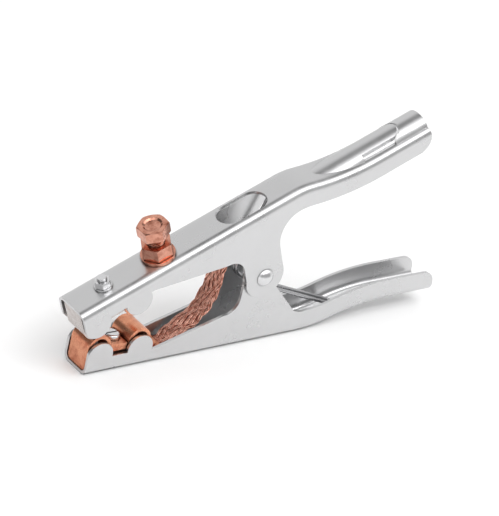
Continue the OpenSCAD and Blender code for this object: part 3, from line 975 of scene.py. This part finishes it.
# Brightness of the studio round the clamp, by the angle up from the back horizon over the top
SKY_BANDS = [
    (0.0, 0.80),
    (38.0, 0.95),
    (57.0, 0.88),
    (72.0, 0.30),
    (88.0, 0.24),
    (100.0, 0.75),
    (108.0, 1.9),
    (122.0, 1.9),
    (132.0, 1.0),
    (145.0, 0.50),
    (165.0, 0.45),
    (180.0, 0.80),
]
# A dark screen behind the clamp on the left: its direction, and how far it reaches
SCREEN_WAY = (-0.74, 0.64, 0.16)
SCREEN_EDGE = (0.80, 0.93)
SCREEN_BRIGHTNESS = 0.16
SKY_STRENGTH = 2.0
# The two ends of the studio, left and right: where each begins and is full
END_EDGE = (0.72, 0.97)
END_BRIGHTNESS = 0.95
# Half the height of the soft change from sky to ground
HORIZON = 0.03
GROUND_BRIGHTNESS = 1.05
WALL_BRIGHTNESS = 0.98


def studio_world():
    """Soft studio surroundings: pale walls, a darker ceiling and a bright panel in front."""
    world = bpy.data.worlds.new("studio")
    world.use_nodes = True
    n = NodeTree(world.node_tree)
    direction = n.add("ShaderNodeTexCoord").outputs["Generated"]
    x, y, z = n.add("ShaderNodeSeparateXYZ", {0: direction}).outputs

    def ease(value, low, high):
        inputs = {"Value": value, "From Min": low, "From Max": high}
        return n.add("ShaderNodeMapRange", inputs, interpolation_type="SMOOTHSTEP").outputs[0]

    def mixed(share_of_second, first, brightness):
        inputs = {"Factor": share_of_second, "A": first, "B": brightness / SKY_STRENGTH}
        return n.add("ShaderNodeMix", inputs).outputs["Result"]

    half_turn = n.maths("DIVIDE", n.maths("ARCTAN2", z, y), math.pi)
    bands = [(angle / 180.0, [light / SKY_STRENGTH] * 3) for angle, light in SKY_BANDS]
    sky = n.colours(half_turn, bands, "EASE")
    above = mixed(ease(n.maths("ABSOLUTE", x), *END_EDGE), sky, END_BRIGHTNESS)
    screen = {0: direction, 1: Vector(SCREEN_WAY).normalized()}
    nearness = n.add("ShaderNodeVectorMath", screen, operation="DOT_PRODUCT").outputs["Value"]
    above = mixed(ease(nearness, *SCREEN_EDGE), above, SCREEN_BRIGHTNESS)
    light = mixed(ease(z, HORIZON, -HORIZON), above, GROUND_BRIGHTNESS)
    # Seen directly, the studio's walls are as plain as its floor
    seen = n.add("ShaderNodeLightPath").outputs["Is Camera Ray"]
    background = n.tree.nodes["Background"]
    n.give(background.inputs["Color"], mixed(seen, light, WALL_BRIGHTNESS))
    background.inputs["Strength"].default_value = SKY_STRENGTH
    return world


# The camera's lens and place, and the directions of its right, its top and its back
CAMERA_LENS = 153.49
CAMERA_SENSOR = 36.0
CAMERA_RANGE = (0.05, 20.0)
CAMERA_PLACE = (-0.7743, -0.7930, 0.6218)
CAMERA_RIGHT = (0.7761, -0.5945, 0.2103)
CAMERA_UP = (0.1392, 0.4868, 0.8624)
CAMERA_BACK = (-0.6151, -0.64, 0.4605)
FLOOR_ROUGHNESS = 0.9
# What the lights point at
LIT_MIDDLE = (0.0, 0.0, 0.05)


class CLAMP_OT_stage(bpy.types.Operator):
    """Sets the camera, the pale floor and the soft studio light"""

    bl_idname = "clamp.stage"
    bl_label = "Stage"

    def execute(self, context):
        scene = context.scene
        camera = bpy.data.cameras.new("camera")
        camera.lens = CAMERA_LENS
        camera.sensor_width = CAMERA_SENSOR
        camera.clip_start, camera.clip_end = CAMERA_RANGE
        turn = Matrix((CAMERA_RIGHT, CAMERA_UP, CAMERA_BACK)).transposed().to_4x4()
        view = new_object("camera", camera)
        view.matrix_world = Matrix.Translation(CAMERA_PLACE) @ turn
        scene.camera = view

        s = settings(context, "clamp_stage")
        bm = bmesh.new()
        bmesh.ops.create_grid(bm, x_segments=1, y_segments=1, size=s.floor / 2)
        floor = mesh_object("floor", bm)
        paper = bpy.data.materials.new("floor_paper")
        paper.use_nodes = True
        shader = paper.node_tree.nodes["Principled BSDF"]
        shader.inputs["Base Color"].default_value = (*s.floor_tone, 1.0)
        shader.inputs["Roughness"].default_value = FLOOR_ROUGHNESS
        give_material(floor, paper)

        scene.world = studio_world()
        soft_light("strip_above", (0.10, -0.72, 0.98), LIT_MIDDLE, 1.5, 0.16, power=3.0)
        ceiling = soft_light("ceiling", (0.0, 0.0, 1.9), LIT_MIDDLE, 2.4, 2.4, power=14.0)
        ceiling.visible_glossy = False
        scene.view_settings.view_transform = "Standard"
        return {"FINISHED"}


# ---- Add-on --------------------------------------------------------------------------

PIECES = (
    CLAMP_OT_stage,
    CLAMP_OT_levers,
    CLAMP_OT_contacts,
    CLAMP_OT_terminal_screw,
    CLAMP_OT_contact_screw_end,
    CLAMP_OT_spring,
    CLAMP_OT_braid,
)


class CLAMP_PT_panel(bpy.types.Panel):
    """Lists the clamp's pieces and their sizes"""

    bl_idname = "CLAMP_PT_panel"
    bl_label = "Ground clamp"
    bl_space_type = "VIEW_3D"
    bl_region_type = "UI"
    bl_category = "Ground Clamp"

    def draw(self, context):
        for name, group in GROUPS.items():
            box = self.layout.box()
            for key in group.__annotations__:
                box.prop(getattr(context.scene, name), key)
        for piece in PIECES:
            self.layout.operator(piece.bl_idname)


CLASSES = (*GROUPS.values(), *PIECES, CLAMP_PT_panel)


def register():
    for cls in CLASSES:
        bpy.utils.register_class(cls)
    for name, group in GROUPS.items():
        setattr(bpy.types.Scene, name, bpy.props.PointerProperty(type=group))


def unregister():
    for name in GROUPS:
        delattr(bpy.types.Scene, name)
    for cls in reversed(CLASSES):
        bpy.utils.unregister_class(cls)


def main():
    register()
    for piece in PIECES:
        family, name = piece.bl_idname.split(".")
        getattr(getattr(bpy.ops, family), name)()


if __name__ == "__main__":
    main()
